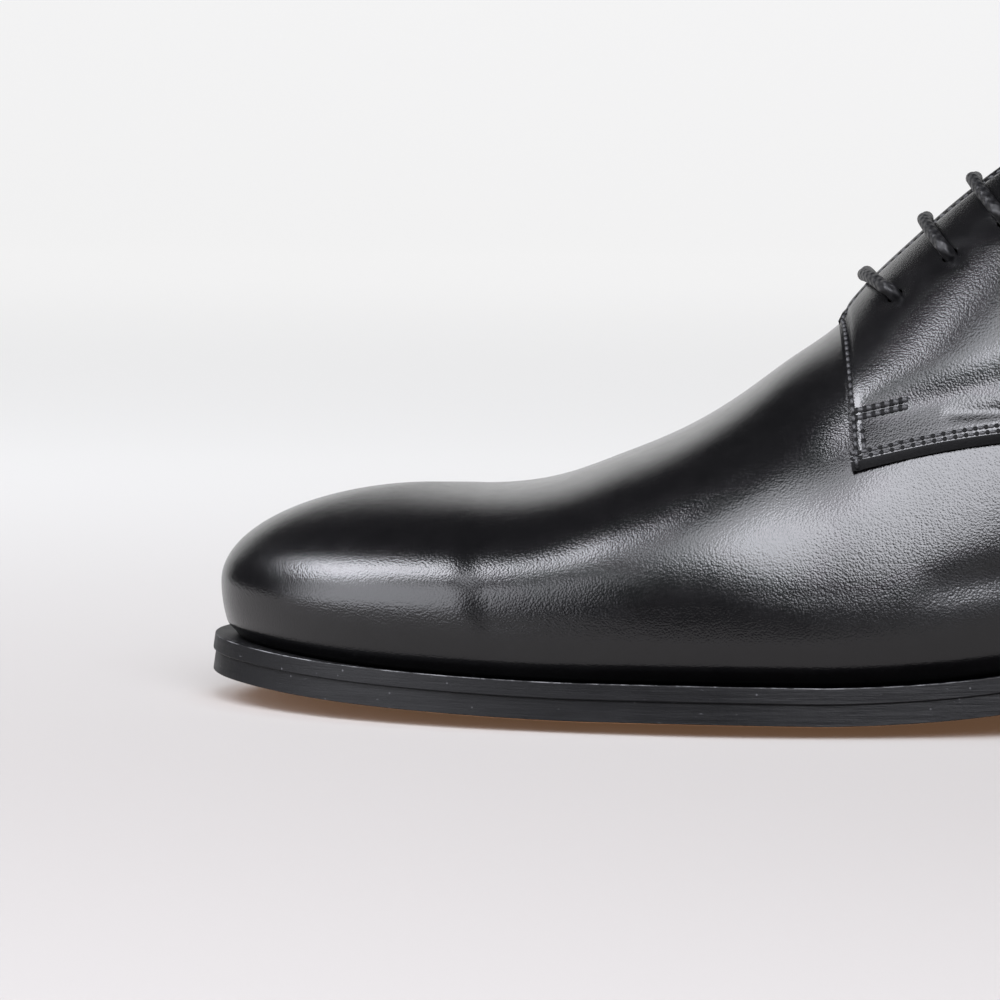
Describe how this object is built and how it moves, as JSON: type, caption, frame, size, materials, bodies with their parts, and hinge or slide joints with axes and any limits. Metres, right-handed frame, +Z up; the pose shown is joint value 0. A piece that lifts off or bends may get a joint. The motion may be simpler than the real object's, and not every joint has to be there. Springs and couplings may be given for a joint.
{
  "type": "leather shoe",
  "caption": "Black calf plain-toe derby shoe for the left foot, hollow and open at the collar, with laced quarters over the vamp, a welted leather sole and a stacked heel.",
  "frame": {"origin": "middle of the shoe's box, on the floor it stands on", "axes": "+X from toe to heel, +Y from the outer side to the inner side of the foot, +Z up"},
  "size_m": [0.2999, 0.1048, 0.1185],
  "materials": {
    "black_calf": "polished smooth calf",
    "edge_leather": "inked and waxed edge",
    "sole_leather": "tan underside, black edge",
    "lining_leather": "natural lining leather",
    "heel_rubber": "matt",
    "lace_cord": "waxed round cord"
  },
  "bodies": {
    "root": {"outsole": "sole_leather", "welt": "edge_leather", "heel": "edge_leather", "heel_top_piece": "heel_rubber", "insole": "lining_leather", "upper": "black_calf", "quarter_outer": "black_calf", "quarter_inner": "black_calf", "tongue": "black_calf", "lace_bar_1": "lace_cord", "lace_bar_2": "lace_cord", "lace_bar_3": "lace_cord", "lace_bar_4": "lace_cord", "lace_bar_5": "lace_cord"}
  },
  "joints": []
}
